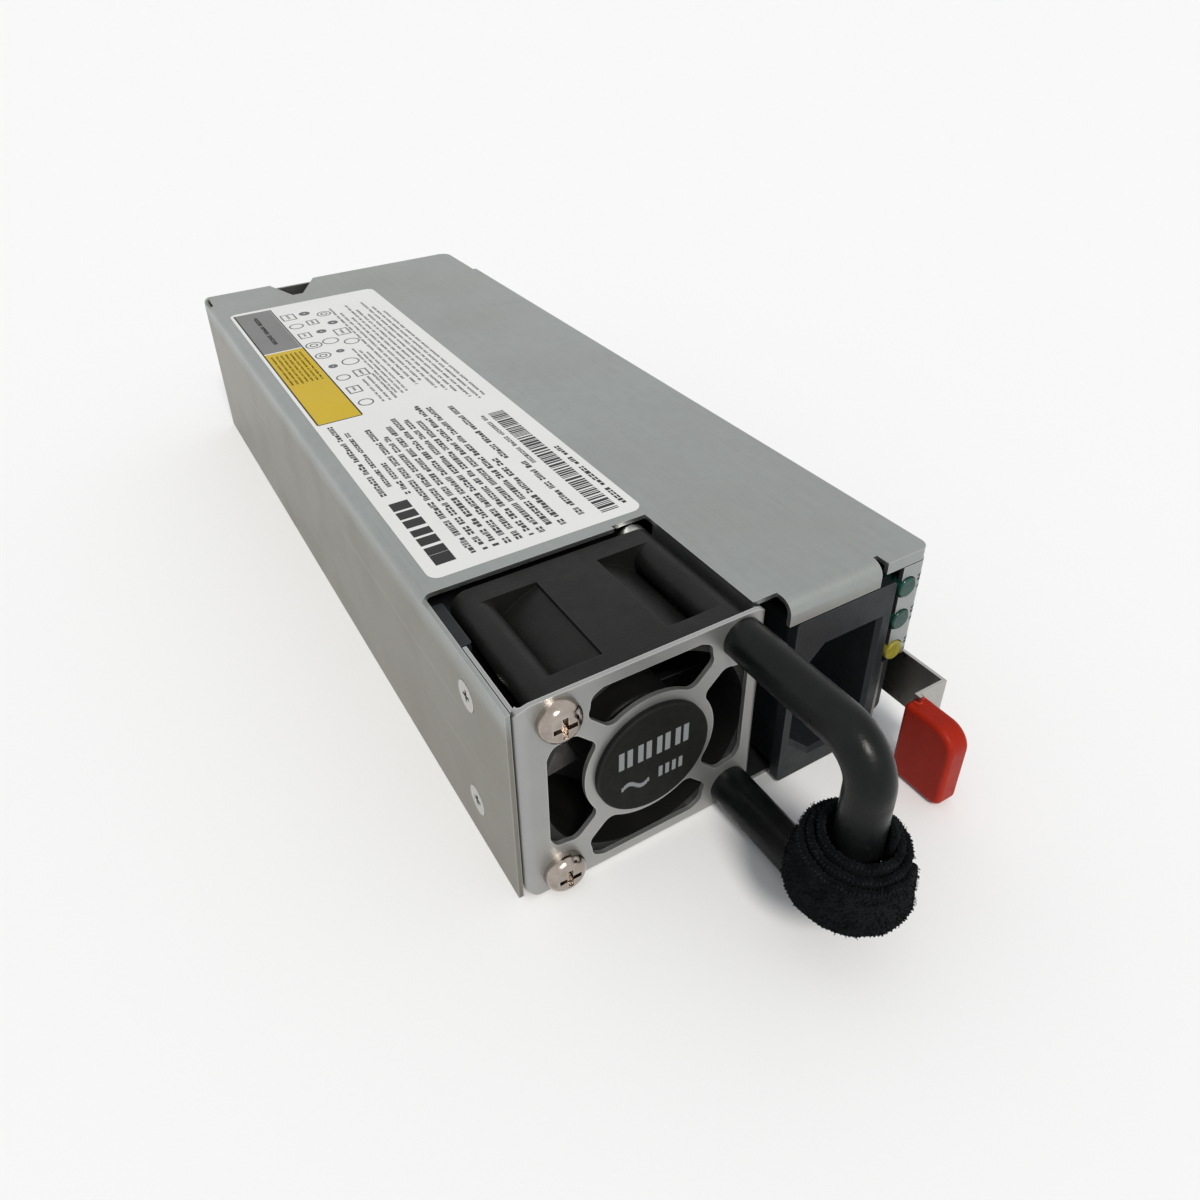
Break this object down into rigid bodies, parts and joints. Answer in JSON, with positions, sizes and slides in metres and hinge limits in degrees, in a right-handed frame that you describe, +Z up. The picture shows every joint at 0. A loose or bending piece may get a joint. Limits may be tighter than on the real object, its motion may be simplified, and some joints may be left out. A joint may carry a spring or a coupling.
{
  "type": "hot swap server power supply",
  "caption": "Slot-in server power supply: folded steel case with a fan behind a pierced bezel, a mains inlet, looped handle with rolled strap, sprung latch and rear card edge.",
  "frame": {"origin": "centre of the case footprint, on its flat underside", "axes": "+Y along the case from the handle end to the card edge, +Z up out of the top cover, +X to the right when facing the front"},
  "size_m": [0.0781, 0.2372, 0.0401],
  "materials": {
    "case_sheet": "zinc-coated sheet, satin",
    "bezel_sheet": "smooth satin grey coat",
    "badge_black": "fine matt",
    "fan_black": "fine moulded texture",
    "steel": "plain steel",
    "copper": "enamelled copper",
    "screw_chrome": "bright plated",
    "handle_black": "satin black coat",
    "strap_black": "woven loop pile",
    "inlet_black": "moulded",
    "brass": "nickel over brass",
    "wire_blue": "insulated wire",
    "lamp_green": "tinted lens",
    "lamp_amber": "tinted lens",
    "board_green": "solder mask",
    "spring_steel": "rolled spring steel",
    "tab_red": "moulded",
    "liner": "thin film",
    "gold": "gold plated",
    "aluminium": "extruded",
    "package_black": "moulded package",
    "can_sleeve": "shrink sleeve",
    "ferrite": "sintered",
    "winding_tape": "polyester tape",
    "film_yellow": "moulded case",
    "relay_white": "moulded case",
    "ceramic_white": "glazed",
    "label_white": "satin printed film"
  },
  "bodies": {
    "case": {"top_cover": "case_sheet", "chassis_tray": "case_sheet", "fan_bezel": "bezel_sheet", "hub_badge": "badge_black", "fan_frame": "fan_black", "fan_bearings": "steel", "fan_stator": "copper", "fan_screws": "screw_chrome", "side_screws": "steel", "pull_handle": "handle_black", "handle_screws": "steel", "ac_inlet": "inlet_black", "inlet_blades": "brass", "inlet_bracket": "case_sheet", "inlet_leads": "wire_blue", "latch_guide": "inlet_black", "green_lamps": "lamp_green", "amber_lamp": "lamp_amber", "lamp_board": "board_green", "latch_root": "spring_steel", "latch_rivets": "steel", "floor_liner": "liner", "main_board": "board_green", "board_standoffs": "steel", "board_screws": "steel", "edge_card": "board_green", "edge_contacts": "gold", "card_posts": "copper", "primary_heatsink": "aluminium", "secondary_heatsink": "aluminium", "power_transistors": "package_black", "bulk_capacitor": "can_sleeve", "transformer_core": "ferrite", "transformer_winding": "winding_tape", "pfc_choke": "copper", "filter_choke": "copper", "filter_capacitors": "film_yellow", "bridge_rectifier": "package_black", "inrush_relay": "relay_white", "mains_fuse": "ceramic_white", "output_capacitors": "can_sleeve", "control_board": "board_green", "control_chips": "package_black", "fan_connector": "relay_white", "fan_lead": "wire_blue", "lead_clip": "inlet_black", "rating_label": "label_white"},
    "fan_wheel": {"fan_rotor": "fan_black", "rotor_magnet": "steel", "fan_shaft": "steel"},
    "latch": {"latch_spring": "spring_steel", "release_tab": "tab_red"},
    "strap": {"strap_roll": "strap_black"}
  },
  "joints": [
    {"name": "fan_spin", "type": "hinge", "parent": "case", "child": "fan_wheel", "pos_m": [-0.01505, -0.0822, 0.02], "axis": [0, 1, 0], "continuous": true},
    {"name": "latch_press", "type": "hinge", "parent": "case", "child": "latch", "pos_m": [0.0369, -0.04, 0.01185], "axis": [0, 0, -1], "range_deg": [0, 2.5], "stiffness_Nm_per_rad": 4},
    {"name": "strap_turn", "type": "hinge", "parent": "case", "child": "strap", "pos_m": [0.00095, -0.123, 0.0154], "axis": [0, 0, 1], "range_deg": [-60, 60]}
  ]
}
